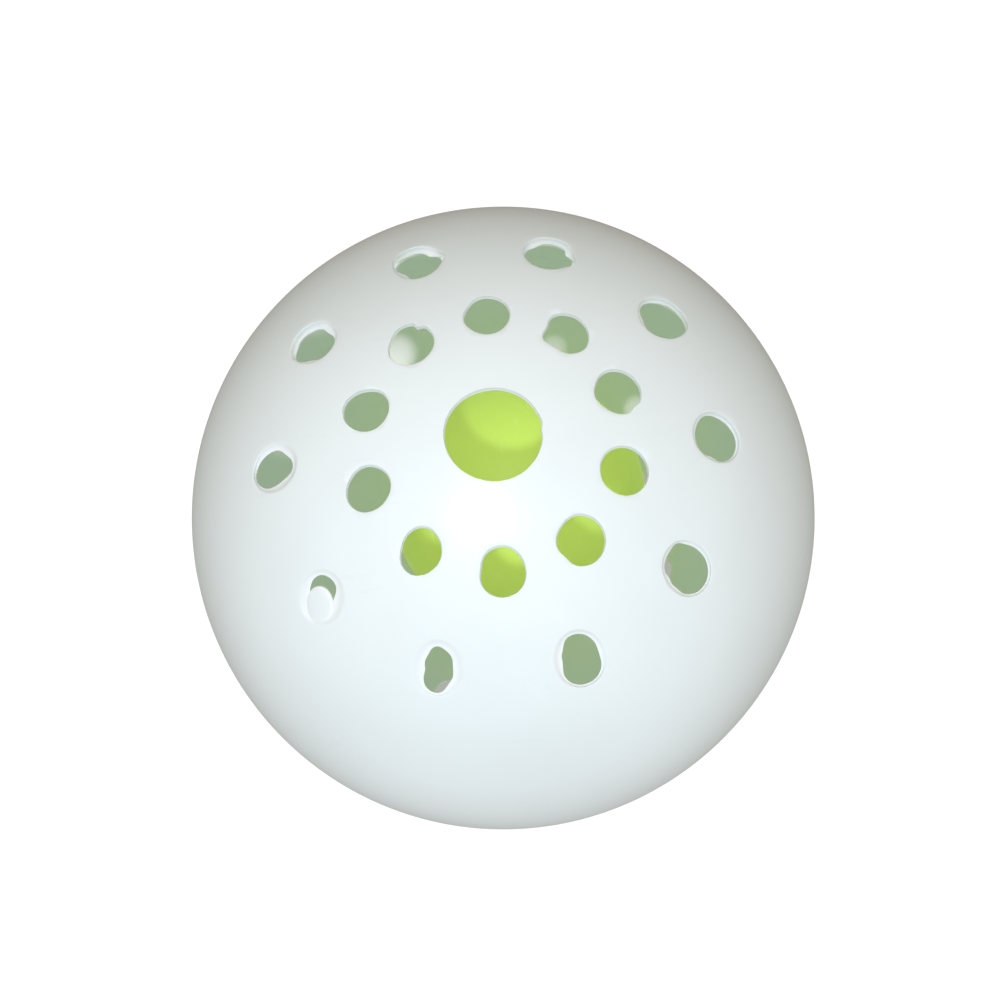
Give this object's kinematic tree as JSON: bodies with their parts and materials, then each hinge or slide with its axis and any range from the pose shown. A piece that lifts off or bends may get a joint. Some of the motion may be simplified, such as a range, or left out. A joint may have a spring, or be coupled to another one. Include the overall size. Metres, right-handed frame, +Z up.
{
  "type": "pickleball ball",
  "caption": "Hollow plastic ball for paddle sport, perforated with a large hole at each pole and rings of small holes, with a loose lime ball rolling inside.",
  "frame": {"origin": "centre of the outer ball", "axes": "+Z up the polar axis through the large hole of the upper half, +X towards a hole of the outer ring, the seam between the halves in the XY plane"},
  "size_m": [0.074, 0.074, 0.0734],
  "materials": {
    "shell_white": "smooth moulded white plastic with a soft gloss",
    "core_lime": "smooth moulded lime-green plastic, satin"
  },
  "bodies": {
    "shell": {"shell_upper_half": "shell_white", "shell_lower_half": "shell_white"},
    "core": {"core_upper_half": "core_lime", "core_lower_half": "core_lime"}
  },
  "joints": [
    {"name": "core_roll", "type": "hinge", "parent": "shell", "child": "core", "pos_m": [0, 0, 0], "axis": [-0.9483, 0.3173, 0], "continuous": true}
  ]
}
